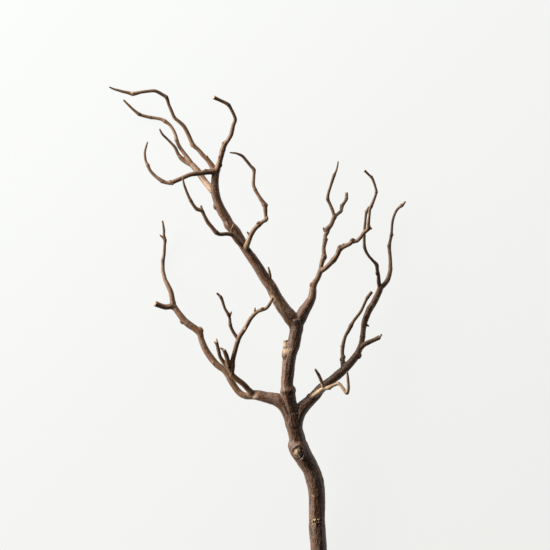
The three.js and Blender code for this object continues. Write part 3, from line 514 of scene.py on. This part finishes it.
def forks_filled(points, quads, near, rounds):
    """Bark fills the creases between limbs: hollow places rise, round ones stay."""
    for k in range(rounds):
        if k % 6 == 0:
            outward = normals_of(points, quads)
        lift = ((near.mean(points) - points) * outward).sum(axis=1)
        points = points + outward * (np.clip(lift - 0.004, 0, None) * 0.8)[:, None]
    return points


def read_off(points, limbs):
    """For every point of the skin: its limb, the ring it belongs to and its place in that ring's own axes."""
    tree = KDTree(len(limbs.vertices))
    for index, corner in enumerate(limbs.vertices.tolist()):
        tree.insert(corner, index)
    tree.balance()
    nearest = np.array([tree.find(point)[1] for point in points.tolist()])
    ring = limbs.ring_of_vertex[nearest]
    offset = points - limbs.middle[ring]
    across, above = axes_across(limbs.direction[ring])
    grain = np.stack(
        [
            (offset * across).sum(axis=1),
            (offset * above).sum(axis=1),
            limbs.along[ring] + (offset * limbs.direction[ring]).sum(axis=1),
        ],
        axis=1,
    )
    return ring, grain


def one_limb_each(labels, near, limb_count, rounds):
    """Ragged borders between limbs pulled straight: a point joins the limb most of its neighbours are on."""
    shares = np.eye(limb_count, dtype=np.float32)[labels]
    for _ in range(rounds):
        shares = 0.4 * shares + 0.6 * near.mean(shares)
    return shares.argmax(axis=1)


def kept_whole(labels, quads, limb_count):
    """Stray patches of a limb go to the limb around them."""
    parent = np.arange(len(labels))
    same = [labels[quads[:, k]] == labels[quads[:, (k + 1) % 4]] for k in range(4)]
    pairs = np.vstack([quads[same[k]][:, [k, (k + 1) % 4]] for k in range(4)])
    while True:
        low = np.minimum(parent[pairs[:, 0]], parent[pairs[:, 1]])
        before = parent.copy()
        np.minimum.at(parent, pairs[:, 0], low)
        np.minimum.at(parent, pairs[:, 1], low)
        parent = parent[parent]
        if (parent == before).all():
            break
    labels = labels.copy()
    for limb in range(limb_count):
        roots, sizes = np.unique(parent[labels == limb], return_counts=True)
        for root in roots[sizes < sizes.max()]:
            patch = parent == root
            touching = quads[patch[quads].any(axis=1)].ravel()
            around = labels[touching[~patch[touching]]]
            if len(around):
                labels[patch] = np.bincount(around).argmax()
    return labels


def healed_scar(points, outward):
    """The healed branch scar: the height of its folds, the painted shade in its moat and fold hollows, and how pale
    each point is.
    """
    middle = np.array(SCAR_MIDDLE) - GROUND_MIDDLE[:2]
    u = (points[:, 0] - middle[0]) / SCAR_REACH[0]
    v = (points[:, 1] - middle[1]) / SCAR_REACH[1]
    wobble = 0.1 * np.sin(3 * np.arctan2(v, u) + 0.7) + 0.05 * np.sin(7 * np.arctan2(v, u))
    reach = np.hypot(u + 0.12 * v, v) + wobble
    facing_up = np.clip(outward[:, 2] * 2.2, 0, 1) * (points[:, 2] > 20)
    outer_fold = np.exp(-(((reach - 1.05) / 0.22) ** 2))
    moat = np.exp(-(((reach - 0.8) / 0.11) ** 2)) * np.clip(0.3 + 0.8 * u - 0.7 * v, 0.04, 1)
    dome = np.exp(-((reach / 0.72) ** 4))
    boss = np.exp(-(((u + 0.16) / 0.44) ** 2) - (((v - 0.12) / 0.42) ** 2))
    lower_folds = np.exp(-((u / 0.75) ** 2)) * np.exp(-(((v + 0.72) / 0.3) ** 2)) * np.sin(v * 15 + 2.5 * u)
    height = 1.2 * outer_fold - 1.1 * moat + 0.9 * dome + 1.1 * boss + 0.9 * lower_folds
    # Painted shade: near-black in the moat, most on its right and lower side away from the light, and in the lower
    # folds' hollows.
    crease = np.clip(0.85 * moat + 0.8 * np.clip(-lower_folds, 0, 1), 0, 1) * (1 - np.clip(1.4 * boss, 0, 1))
    tan = np.clip(0.3 * dome + 0.42 * boss, 0, 1)
    return height * facing_up, crease * facing_up, tan * facing_up


def colour(code, alpha=1.0):
    """A hex sRGB colour as linear values."""
    parts = (int(code[i : i + 2], 16) / 255 for i in (1, 3, 5))
    return tuple(p / 12.92 if p <= 0.04045 else ((p + 0.055) / 1.055) ** 2.4 for p in parts) + (alpha,)


def add(tree, kind, inputs=None, stops=None, **settings):
    """A node of that kind. An input is a value, an output, or a node, whose first output is meant."""
    node = tree.nodes.new(kind)
    for key, value in settings.items():
        setattr(node, key, value)
    for name, value in (inputs or {}).items():
        if isinstance(value, bpy.types.Node):
            value = value.outputs[0]
        if isinstance(value, bpy.types.NodeSocket):
            tree.links.new(value, node.inputs[name])
        else:
            node.inputs[name].default_value = value
    if stops:
        ramp = node.color_ramp
        while len(ramp.elements) < len(stops):
            ramp.elements.new(0.5)
        for element, (place, shade) in zip(ramp.elements, stops):
            element.position = place
            element.color = colour(shade) if isinstance(shade, str) else (shade, shade, shade, 1)
    return node


def empty_group(name, inputs):
    """A Geometry Nodes group that gives geometry, with inputs of those kinds, and its input node."""
    tree = bpy.data.node_groups.new(name, "GeometryNodeTree")
    tree.interface.new_socket("Geometry", in_out="OUTPUT", socket_type="NodeSocketGeometry")
    for key, kind in inputs.items():
        tree.interface.new_socket(key, in_out="INPUT", socket_type="NodeSocket" + kind)
    return tree, add(tree, "NodeGroupInput")


def empty_material(name):
    material = bpy.data.materials.new(name)
    material.use_nodes = True
    material.node_tree.nodes.clear()
    return material, material.node_tree


def put_in(name, mesh):
    """An object of that mesh, in the scene."""
    thing = bpy.data.objects.new(name, mesh)
    bpy.context.collection.objects.link(thing)
    return thing


def bark_relief():
    """Moves the skin along its normal: long flutes, lengthwise wrinkles, node collars and fine crosswise cracks."""
    heights = ("Flute height", "Wrinkle height", "Crack depth", "Collar height", "Crumb height")
    tree, start = empty_group("bark_relief", {"Skin": "Geometry"} | dict.fromkeys(heights, "Float"))
    grain = add(tree, "GeometryNodeInputNamedAttribute", {"Name": "grain"}, data_type="FLOAT_VECTOR")
    thickness, node_ring, crumbled = (
        add(tree, "GeometryNodeInputNamedAttribute", {"Name": key}, data_type="FLOAT")
        for key in ("thickness", "node_ring", "crumbled")
    )

    total = 0.0
    for stretch, scale, detail, height in (
        ((1, 1, 0.16), 0.11, 1.5, "Flute height"),
        ((1, 1, 0.22), 0.42, 3.0, "Wrinkle height"),
        ((0.5, 0.5, 2.4), 0.3, 2.0, "Crack depth"),
    ):
        placed = add(tree, "ShaderNodeVectorMath", {0: grain, 1: stretch}, operation="MULTIPLY")
        noise = {"Vector": placed, "Scale": scale, "Detail": detail, "Roughness": 0.6}
        noise = add(tree, "ShaderNodeTexNoise", noise)
        signed = add(tree, "ShaderNodeMath", {0: noise, 1: 0.5}, operation="SUBTRACT")
        if height == "Crack depth":
            signed = add(tree, "ShaderNodeMath", {0: signed, 1: -0.06}, operation="MINIMUM")
        total = add(tree, "ShaderNodeMath", {0: signed, 1: start.outputs[height], 2: total}, operation="MULTIPLY_ADD")
    by_thickness = {"Value": thickness, "From Min": 3, "From Max": 22, "To Min": 0.09}
    by_thickness = add(tree, "ShaderNodeMapRange", by_thickness)
    total = add(tree, "ShaderNodeMath", {0: total, 1: by_thickness}, operation="MULTIPLY")
    collar = start.outputs["Collar height"]
    total = add(tree, "ShaderNodeMath", {0: node_ring, 1: collar, 2: total}, operation="MULTIPLY_ADD")
    crumbs = add(tree, "ShaderNodeTexNoise", {"Vector": grain, "Scale": 0.4, "Detail": 2})
    crumbs = add(tree, "ShaderNodeMath", {0: crumbs, 1: 0.45}, operation="SUBTRACT")
    crumbs = add(tree, "ShaderNodeMath", {0: crumbs, 1: start.outputs["Crumb height"]}, operation="MULTIPLY")
    total = add(tree, "ShaderNodeMath", {0: crumbs, 1: crumbled, 2: total}, operation="MULTIPLY_ADD")
    normal = add(tree, "GeometryNodeInputNormal")
    offset = add(tree, "ShaderNodeVectorMath", {0: normal, "Scale": total}, operation="SCALE")
    moved = add(tree, "GeometryNodeSetPosition", {"Geometry": start.outputs["Skin"], "Offset": offset})
    add(tree, "NodeGroupOutput", {0: moved})
    return tree


def set_inputs(modifier, **values):
    """Named inputs of a Geometry Nodes modifier, underscores standing for spaces."""
    for item in modifier.node_group.interface.items_tree:
        key = item.name.replace(" ", "_")
        if item.item_type == "SOCKET" and item.in_out == "INPUT" and key in values:
            modifier[item.identifier] = values[key]


def mesh_with(name, points, faces, attributes):
    mesh = bpy.data.meshes.new(name)
    mesh.from_pydata(points.tolist(), [], faces)
    for key, values in attributes.items():
        kind, slot = ("FLOAT_VECTOR", "vector") if values.ndim == 2 else ("FLOAT", "value")
        mesh.attributes.new(key, kind, "POINT").data.foreach_set(slot, values.astype(np.float32).ravel())
    return mesh


def weathered(points, quads, attributes):
    """The skin with its relief grown on."""
    thing = put_in("skin", mesh_with("skin", points, quads.tolist(), attributes))
    thing.data.shade_smooth()
    relief = thing.modifiers.new("relief", "NODES")
    relief.node_group = bark_relief()
    set_inputs(relief, Flute_height=2.6, Wrinkle_height=1.7, Collar_height=0.22, Crack_depth=1.2, Crumb_height=7.0)
    moved, _ = points_and_quads(plain_mesh(thing))
    bpy.data.objects.remove(thing)
    return moved


def limb_piece(name, keep, points, quads, outward, attributes):
    """One limb's stretch of the skin, closed where it meets its neighbours."""
    own = quads[keep]
    used, local = np.unique(own, return_inverse=True)
    local = local.reshape(-1, 4)
    count = len(used)
    a, b = local.ravel(), np.roll(local, -1, axis=1).ravel()
    rim = ~np.isin(a.astype(np.int64) * count + b, b.astype(np.int64) * count + a)
    rim_edges = list(zip(a[rim].tolist(), b[rim].tolist()))
    leader = {}

    def top(corner):
        while leader.setdefault(corner, corner) != corner:
            corner = leader[corner]
        return corner

    for start, end in rim_edges:
        leader[top(start)] = top(end)
    loops = {}
    for start, end in rim_edges:
        loops.setdefault(top(start), []).append((start, end))

    spots, values = points[used], {key: value[used] for key, value in attributes.items()}
    facing = outward[used]
    faces = local.tolist()
    for edges in loops.values():
        corners = sorted({start for start, _ in edges})
        apex = len(spots)
        spots = np.vstack([spots, spots[corners].mean(axis=0)])
        facing = np.vstack([facing, facing[corners].mean(axis=0) + (0, 0, 1e-3)])
        values = {key: np.concatenate([value, value[corners[:1]]]) for key, value in values.items()}
        faces += [[end, start, apex] for start, end in edges]

    mesh = mesh_with(name, spots * MM, faces, values)
    mesh.shade_smooth()
    mesh.normals_split_custom_set_from_vertices(facing.tolist())
    return put_in(name, mesh)


def laid_over(tree, shade, amount, tint):
    """The tint over the shade, by that amount."""
    mix = add(tree, "ShaderNodeMix", {0: amount, 6: shade, 7: tint}, data_type="RGBA", clamp_factor=True)
    return mix.outputs[2]


def bark(name, film, rust, roughness):
    """Bark coloured by how thick the wood under it is, so that one limb's colour runs on into the next."""
    material, tree = empty_material(name)
    grain = add(tree, "ShaderNodeAttribute", attribute_name="grain").outputs["Vector"]
    reads = {
        key: add(tree, "ShaderNodeAttribute", attribute_name=key).outputs["Fac"]
        for key in ("thickness", "node_ring", "worn_and_lit", "crease", "crumbled")
    }
    patterns = {}
    for key, stretch, scale, detail in (
        ("mottle", (1, 1, 0.4), 0.15, 5),
        ("streak", (1, 1, 0.12), 0.45, 4),
        ("fibre", (1, 1, 0.15), 1.4, 3),
        ("crack", (0.35, 0.35, 2.0), 0.4, 3),
        ("sand", (1, 1, 0.6), 0.36, 4),
        ("speck", (1, 1, 0.8), 0.8, 2),
    ):
        placed = add(tree, "ShaderNodeVectorMath", {0: grain, 1: stretch}, operation="MULTIPLY")
        noise = {"Vector": placed, "Scale": scale, "Detail": detail, "Roughness": 0.66}
        patterns[key] = add(tree, "ShaderNodeTexNoise", noise)

    # The bark thickens and darkens with age: tan on a twig, umber on the stem.
    age = add(tree, "ShaderNodeMath", {0: reads["thickness"], 1: 24.0}, operation="DIVIDE")
    age = add(tree, "ShaderNodeMath", {0: patterns["mottle"], 1: 0.16, 2: age}, operation="MULTIPLY_ADD")
    shade = add(
        tree, "ShaderNodeValToRGB", {"Fac": age},
        stops=[(0.12, "#6b543a"), (0.26, "#5d452f"), (0.42, "#5a3e25"), (0.62, "#50341d"), (0.95, "#462c19")],
    )
    layers = [
        # Sandy grain of the skin: rust-brown crests and near-black hollows.
        (patterns["sand"], 0.52, 0.66, "#7a5038", rust),
        (patterns["sand"], 0.47, 0.34, "#1c0f08", 0.85),
        # Dark lengthwise streaks where the skin is drawn tight, and live brown ones between.
        (patterns["streak"], 0.42, 0.32, "#20120a", 0.5),
        (patterns["streak"], 0.56, 0.7, "#8a5c3a", rust),
        # The grey film that old bark flakes off in.
        (patterns["mottle"], 0.5, 0.66, "#84756d", film),
        # Pale pores.
        (patterns["speck"], 0.66, 0.74, "#a98a6c", 0.5),
        # Fine cracks across the grain.
        (patterns["crack"], 0.33, 0.26, "#1d1109", 0.35),
        (reads["node_ring"], 0.35, 1.0, "#2b1a10", 0.45),
        # Painted shade: near-black in the healed scar's moat and fold hollows.
        (reads["crease"], 0.1, 0.9, "#170c06", 0.92),
        # Pale bare and worn wood, and painted light on lit sides and a highlight.
        (reads["worn_and_lit"], 0.0, 1.0, "#bda283", 0.9),
    ]
    heft = {"Value": reads["thickness"], "From Min": 3.0, "From Max": 14.0, "To Min": 0.25}
    heft = add(tree, "ShaderNodeMapRange", heft)
    for source, low, high, tint, strength in layers:
        amount = add(
            tree, "ShaderNodeMapRange", {"Value": source, "From Min": low, "From Max": high, "To Max": strength}
        )
        if source in patterns.values():
            # A thin twig's skin is smoother and more even than an old limb's.
            amount = add(tree, "ShaderNodeMath", {0: amount, 1: heft}, operation="MULTIPLY")
        shade = laid_over(tree, shade, amount, colour(tint))
    # The crumbled ring: straw-coloured crumbs between black pits.
    crumbs = add(tree, "ShaderNodeTexNoise", {"Vector": grain, "Scale": 0.42, "Detail": 3})
    straw = [(0.44, "#120a06"), (0.52, "#6b4527"), (0.6, "#c2a37c")]
    crumbs = add(tree, "ShaderNodeValToRGB", {"Fac": crumbs}, stops=straw)
    crumbled = add(tree, "ShaderNodeMath", {0: reads["crumbled"], 1: 0.85}, operation="MULTIPLY")
    shade = laid_over(tree, shade, crumbled, crumbs)

    # Relief too fine for the skin itself: drawn-out fibres, cracks and pores.
    relief = patterns["streak"]
    for key, share in (("fibre", 0.6), ("crack", 0.3), ("sand", 1.4)):
        relief = add(tree, "ShaderNodeMath", {0: patterns[key], 1: share, 2: relief}, operation="MULTIPLY_ADD")
    depth = {"Value": reads["thickness"], "From Min": 5.0, "From Max": 16.0, "To Min": 0.06}
    depth = add(tree, "ShaderNodeMapRange", depth)
    relief = add(tree, "ShaderNodeMath", {0: relief, 1: depth}, operation="MULTIPLY")
    bump = add(tree, "ShaderNodeBump", {"Height": relief, "Distance": 0.6 * MM, "Strength": 0.55})
    spread = {"From Min": 0.3, "From Max": 0.7, "To Min": roughness - 0.1, "To Max": roughness + 0.1}
    gloss = add(tree, "ShaderNodeMapRange", {"Value": patterns["mottle"]} | spread)
    surface = add(
        tree, "ShaderNodeBsdfPrincipled",
        {
            "Base Color": shade, "Roughness": gloss, "Normal": bump, "Specular IOR Level": 0.45,
            "Sheen Weight": 0.36, "Sheen Roughness": 0.34, "Sheen Tint": colour("#eaddd4"),
        },
    )
    add(tree, "ShaderNodeOutputMaterial", {0: surface})
    return material


def sawn_grain():
    """Sawn end grain: growth rings round a dark pith, crossed by faint saw lines, with a dark rim of bark."""
    material, tree = empty_material("sawn_end_grain")
    grain = add(tree, "ShaderNodeAttribute", attribute_name="grain").outputs["Vector"]
    flat = add(tree, "ShaderNodeVectorMath", {0: grain, 1: (1, 1, 0)}, operation="MULTIPLY")
    wander = add(tree, "ShaderNodeTexNoise", {"Vector": flat, "Scale": 0.16, "Detail": 3})
    out_from_pith = add(tree, "ShaderNodeVectorMath", {0: flat}, operation="LENGTH").outputs["Value"]
    reach = add(tree, "ShaderNodeMath", {0: wander, 1: 2.6, 2: out_from_pith}, operation="MULTIPLY_ADD")
    ring = add(tree, "ShaderNodeMath", {0: reach, 1: 4.6}, operation="MULTIPLY")
    ring = add(tree, "ShaderNodeMath", {0: ring}, operation="SINE")
    ring = add(tree, "ShaderNodeMapRange", {"Value": ring, "From Min": -1.0})
    shade = add(tree, "ShaderNodeValToRGB", {"Fac": ring}, stops=[(0.1, "#b58e62"), (0.7, "#d8b98c")])
    across_blade = add(tree, "ShaderNodeVectorMath", {0: flat, 1: (0.2, 3, 1)}, operation="MULTIPLY")
    saw = add(tree, "ShaderNodeTexNoise", {"Vector": across_blade, "Scale": 0.9, "Detail": 2})
    for source, low, high, tint, strength in (
        (saw, 0.5, 0.75, "#8e6c49", 0.5),
        (out_from_pith, 1.6, 0.5, "#5a3d27", 0.9),
        (out_from_pith, 9.6, 10.3, "#4b3222", 1.0),
    ):
        amount = add(
            tree, "ShaderNodeMapRange", {"Value": source, "From Min": low, "From Max": high, "To Max": strength}
        )
        shade = laid_over(tree, shade, amount, colour(tint))
    bump = add(tree, "ShaderNodeBump", {"Height": saw, "Distance": 0.3 * MM, "Strength": 0.6})
    surface = add(tree, "ShaderNodeBsdfPrincipled", {"Base Color": shade, "Roughness": 0.8, "Normal": bump})
    add(tree, "ShaderNodeOutputMaterial", {0: surface})
    return material


def sawn_foot(limbs, material):
    """The thin slice of bare wood at the sawn foot of the stem."""
    sides = 48
    turn = np.arange(sides) / sides * 2 * np.pi
    direction = limbs.direction[0]
    across, above = axes_across(direction)
    start = limbs.middle[0] - direction * (SAW_DEPTH - 0.05)
    radius = limbs.thickness[0] / 2 - 0.25
    points, places = [], []
    for depth, reach in ((0, 0), (0, radius - 0.4), (0.35, radius), (SAW_DEPTH + 0.8, radius), (SAW_DEPTH + 0.8, 0)):
        for angle in turn[: 1 if reach == 0 else sides]:
            u, v = math.cos(angle) * reach, math.sin(angle) * reach
            points.append(start + direction * depth + across * u + above * v)
            places.append((u, v, depth))
    last = len(points) - 1
    faces = []
    for t in range(sides):
        after = (t + 1) % sides
        faces.append([0, 1 + after, 1 + t])
        faces.append([last, last - sides + t, last - sides + after])
        for row in (1, 1 + sides):
            faces.append([row + t, row + after, row + sides + after, row + sides + t])
    points = np.array(points)
    points[:, 2] = np.clip(points[:, 2], 0.02, None)
    mesh = mesh_with("sawn_foot", points * MM, faces, {"grain": np.array(places)})
    mesh.materials.append(material)
    return put_in("sawn_foot", mesh)


def strewn(name, points, normals, directions, sizes, shape, material):
    """Small closed lumps set on points, each standing along its own direction: Geometry Nodes on a row of points."""
    measures = ("Width", "Height", "Length")
    kinds = {"Spots": "Geometry"} | dict.fromkeys(measures, "Float") | {"Bark": "Material"}
    tree, start = empty_group(name, kinds)
    ball = add(tree, "GeometryNodeMeshUVSphere", {"Segments": 8, "Rings": 5, "Radius": 0.5})
    stretch = add(tree, "ShaderNodeCombineXYZ", {axis: start.outputs[key] for axis, key in enumerate(measures)})
    ball = add(tree, "GeometryNodeTransform", {"Geometry": ball, "Scale": stretch})
    size, along, out = (
        add(tree, "GeometryNodeInputNamedAttribute", {"Name": key}, data_type=kind)
        for key, kind in (("size", "FLOAT"), ("along", "FLOAT_VECTOR"), ("out", "FLOAT_VECTOR"))
    )
    turn = add(tree, "FunctionNodeAlignRotationToVector", {"Vector": along}, axis="Z")
    turn = add(tree, "FunctionNodeAlignRotationToVector", {"Rotation": turn, "Vector": out}, axis="Y", pivot_axis="Z")
    spots = add(tree, "GeometryNodeMeshToPoints", {"Mesh": start.outputs["Spots"]})
    lumps = {"Points": spots, "Instance": ball, "Rotation": turn, "Scale": size}
    lumps = add(tree, "GeometryNodeInstanceOnPoints", lumps)
    lumps = add(tree, "GeometryNodeRealizeInstances", {"Geometry": lumps})
    lumps = add(tree, "GeometryNodeSetShadeSmooth", {"Geometry": lumps})
    lumps = add(tree, "GeometryNodeSetMaterial", {"Geometry": lumps, "Material": start.outputs["Bark"]})
    add(tree, "NodeGroupOutput", {0: lumps})

    spots = mesh_with(name + "_spots", points, [], {"size": sizes, "along": directions, "out": normals})
    holder = put_in(spots.name, spots)
    scatter = holder.modifiers.new("scatter", "NODES")
    scatter.node_group = tree
    length, width, height = shape
    set_inputs(scatter, Length=length, Width=width, Height=height, Bark=material)
    mesh = plain_mesh(holder)
    mesh.name = name
    bpy.data.objects.remove(holder)
    corners = np.empty(len(mesh.vertices) * 3)
    mesh.vertices.foreach_get("co", corners)
    corners = np.clip(corners.reshape(-1, 3), box_low, box_high) * MM
    mesh.vertices.foreach_set("co", corners.ravel())
    mesh.update()
    return put_in(name, mesh)


def plain_scale(name, dark, light, size, bump_height, roughness):
    """A small lump's dry skin: two tones in lengthwise scales over a fine bump."""
    material, tree = empty_material(name)
    place = add(tree, "ShaderNodeTexCoord").outputs["Object"]
    scales = add(tree, "ShaderNodeTexVoronoi", {"Vector": place, "Scale": 1 / (size * MM)})
    mottle = add(tree, "ShaderNodeTexNoise", {"Vector": place, "Scale": 0.6 / (size * MM), "Detail": 4})
    both = add(tree, "ShaderNodeMath", {0: scales, 1: mottle}, operation="MULTIPLY")
    shade = add(tree, "ShaderNodeValToRGB", {"Fac": both}, stops=[(0.05, dark), (0.5, light)])
    bump = add(tree, "ShaderNodeBump", {"Height": both, "Distance": bump_height * MM, "Strength": 0.7})
    surface = add(tree, "ShaderNodeBsdfPrincipled", {"Base Color": shade, "Roughness": roughness, "Normal": bump})
    add(tree, "ShaderNodeOutputMaterial", {0: surface})
    return material


# The branch itself.

box_low, box_high = np.array(cad_low) / MM + 0.02, np.array(cad_high) / MM - 0.02

limbs = Limbs()
names = [name for name, _, _ in LIMBS]
for index, (name, _, routes) in enumerate(LIMBS):
    for route in routes:
        thick = max(station[3] for station in route)
        swell = BARK_SWELL + PLUMP.get(name, 0)
        sides = THICK_SIDES if thick > 12 else THIN_SIDES
        limbs.lay(index, route, RING_STEP, sides, SAW_DEPTH if name == "stem" else 0.0, swell)
for name, route in THORNS:
    limbs.lay(names.index(name), route, THORN_STEP, THORN_SIDES)
for name, lumps in KNOBS:
    for lump in lumps:
        limbs.knob(names.index(name), *lump)
limbs.close()

points, quads = grown_together(limbs)
near = Neighbours(quads, len(points))
points = smoothed(points, near, FIRST_EVENING)
ring, grain = read_off(points, limbs)
labels = one_limb_each(limbs.limb[ring], near, len(LIMBS), BORDER_EVENING)
labels = kept_whole(labels, quads, len(LIMBS))
points = forks_filled(points, quads, near, FORK_FILLING)
points = smoothed(points, near, LAST_EVENING)

# Pale patches: bare and worn wood, and painted light on lit sides and a highlight; the healed scar's tan is its own
# colour.
worn_and_lit = np.zeros(len(points))
for name, patches in WORN_AND_LIT:
    for x, y, reach, strength in patches:
        away = np.linalg.norm(points[:, :2] - (np.array([x, y]) - GROUND_MIDDLE[:2]), axis=1)
        worn_and_lit = np.maximum(worn_and_lit, strength * np.clip(1.4 - away / reach * 1.2, 0, 1) * (labels == names.index(name)))
outward = normals_of(points, quads)
fold, crease, tan = healed_scar(points, outward)
worn_and_lit = np.maximum(worn_and_lit, tan)
points = points + outward * fold[:, None]

from_patch = (points[:, :2] + GROUND_MIDDLE[:2] - CRUMBLED_MIDDLE) / CRUMBLED_REACH
crumbled = np.exp(-((from_patch**2).sum(axis=1) ** 2)) * (labels == 0) * (outward[:, 2] > 0)
attributes = {
    "grain": grain,
    "crumbled": crumbled,
    "thickness": limbs.thickness[ring],
    "node_ring": limbs.node[ring],
    "worn_and_lit": worn_and_lit,
    "crease": crease,
}
points = weathered(points, quads, attributes)
points = np.clip(points, box_low, box_high)
outward = normals_of(points, quads)

barks = {
    # Bark of the oldest wood, darkened and filmed with grey by the weather.
    "old_bark": bark("old_branch_bark", film=0.3, rust=0.6, roughness=0.56),
    # Bark of a few years' growth, drawn smooth and brown.
    "young_bark": bark("young_branch_bark", film=0.2, rust=0.5, roughness=0.54),
    # The thin tan bark of the last years' twigs.
    "tip_bark": bark("twig_tip_bark", film=0.15, rust=0.45, roughness=0.54),
}

face_limb = labels[quads[:, 0]]
for index, (name, slot, _) in enumerate(LIMBS):
    piece = limb_piece(name + "_wood", face_limb == index, points, quads, outward, attributes)
    piece.data.materials.append(barks[slot])
    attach(piece, "root")
    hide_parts(name)

# The sawn foot, planed flat by the saw.
foot = sawn_foot(limbs, sawn_grain())
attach(foot, "root")

# Resting buds at the nodes: one to a node, turned round the twig from node to node.
dice = np.random.default_rng(7)
spots, outs, alongs, sizes = [], [], [], []
peaks = np.flatnonzero((limbs.node > 0.97) & (limbs.thickness < 9))
for count, peak in enumerate(peaks):
    if count and peak - peaks[count - 1] < 3:
        continue
    direction = limbs.direction[peak]
    across, above = axes_across(direction)
    turn = count * 2.4 + dice.uniform(-0.4, 0.4)
    out = across * math.cos(turn) + above * abs(math.sin(turn))
    radius = limbs.thickness[peak] / 2
    spots.append(limbs.middle[peak] + out * (radius + 0.1) + direction * 0.7)
    outs.append(out)
    alongs.append(direction + out * 0.55)
    sizes.append(dice.uniform(0.8, 1.15) * (0.62 + 0.07 * radius))
buds = strewn(
    "resting_buds", np.array(spots), np.array(outs), np.array(alongs), np.array(sizes), (2.9, 1.7, 1.5),
    # Overlapping bud scales, dry and dark brown.
    plain_scale("bud_scales", "#20130c", "#5b3c29", 0.7, 0.15, 0.6),
)
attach(buds, "root")

# Cork pores on the older bark, thickest on the stem.
flat_chance = (limbs.thickness[ring] / 24) ** 1.5 * (worn_and_lit < 0.1) * (crease < 0.05)
picked = dice.choice(len(points), size=PORES, replace=False, p=flat_chance / flat_chance.sum())
across_grain = np.cross(outward[picked], limbs.direction[ring[picked]])
pores = strewn(
    "cork_pores", points[picked] + outward[picked] * 0.05, outward[picked], across_grain,
    dice.uniform(0.6, 1.2, len(picked)), (1.7, 0.8, 0.45),
    # Corky pore tissue, pale and powdery.
    plain_scale("cork_pore_tissue", "#6b5343", "#9a8069", 0.5, 0.1, 0.85),
)
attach(pores, "root")

# Studio: a pale sheet that glows like a lit backdrop, a broad soft light low on the left and a weak one on the right.
sheet, paper = empty_material("studio_paper")
place = add(paper, "ShaderNodeTexCoord").outputs["Object"]
# Painted light falloff: the glow is brighter towards the upper left, where the lights stand, and dimmer towards the
# lower right.
slope = add(paper, "ShaderNodeVectorMath", {0: place, 1: (-0.55, 0.6, 0)}, operation="DOT_PRODUCT").outputs["Value"]
painted_falloff = add(
    paper, "ShaderNodeValToRGB",
    {"Fac": add(paper, "ShaderNodeMapRange", {"Value": slope, "From Min": -0.35, "From Max": 0.5})},
    stops=[(0.0, "#eeeeec"), (1.0, "#f8faf9")],
)
glow = add(paper, "ShaderNodeEmission", {"Color": painted_falloff, "Strength": 0.98})
matt = add(paper, "ShaderNodeBsdfDiffuse", {"Color": (0.03, 0.03, 0.03, 1)})
joined = add(paper, "ShaderNodeAddShader", {0: glow, 1: matt})
add(paper, "ShaderNodeOutputMaterial", {0: joined})
bpy.ops.mesh.primitive_plane_add(size=8)
floor = bpy.context.object
floor.name = "floor"
floor.data.materials.append(sheet)


def soft_light(name, place, target, width, height, watts, tint):
    light = bpy.data.lights.new(name, "AREA")
    light.shape, light.size, light.size_y = "RECTANGLE", width, height
    light.energy, light.color = watts, colour(tint)[:3]
    lamp = put_in(name, light)
    lamp.location = place
    lamp.rotation_euler = (Vector(target) - Vector(place)).to_track_quat("-Z", "Y").to_euler()


soft_light("window_light", (-2.25, 0.85, 0.66), (0, 0, 0.05), 1.9, 0.7, 205, "#fff9f0")
soft_light("end_light", (-0.75, 2.3, 0.62), (0, 0, 0.05), 1.6, 0.6, 72, "#fffaf4")
soft_light("rim_light", (2.4, 0.3, 0.5), (0, 0, 0.05), 1.4, 0.8, 8, "#f4f4ff")

world = bpy.data.worlds.new("room")
world.use_nodes = True
world.node_tree.nodes["Background"].inputs["Color"].default_value = colour("#e8ecf0")
world.node_tree.nodes["Background"].inputs["Strength"].default_value = 0.04
bpy.context.scene.world = world
bpy.context.scene.view_settings.view_transform = "Standard"

# A long lens straight above, as far off as makes FRAME_WIDTH fill the picture at the branch's middle height.
camera = bpy.data.cameras.new("camera")
camera.lens, camera.sensor_width, camera.dof.use_dof = 600, 36, False
camera.clip_end = 60
viewer = put_in("camera", camera)
viewer.location = (0.02433, 0.08614, 0.05 + FRAME_WIDTH * camera.lens / camera.sensor_width)
bpy.context.scene.camera = viewer
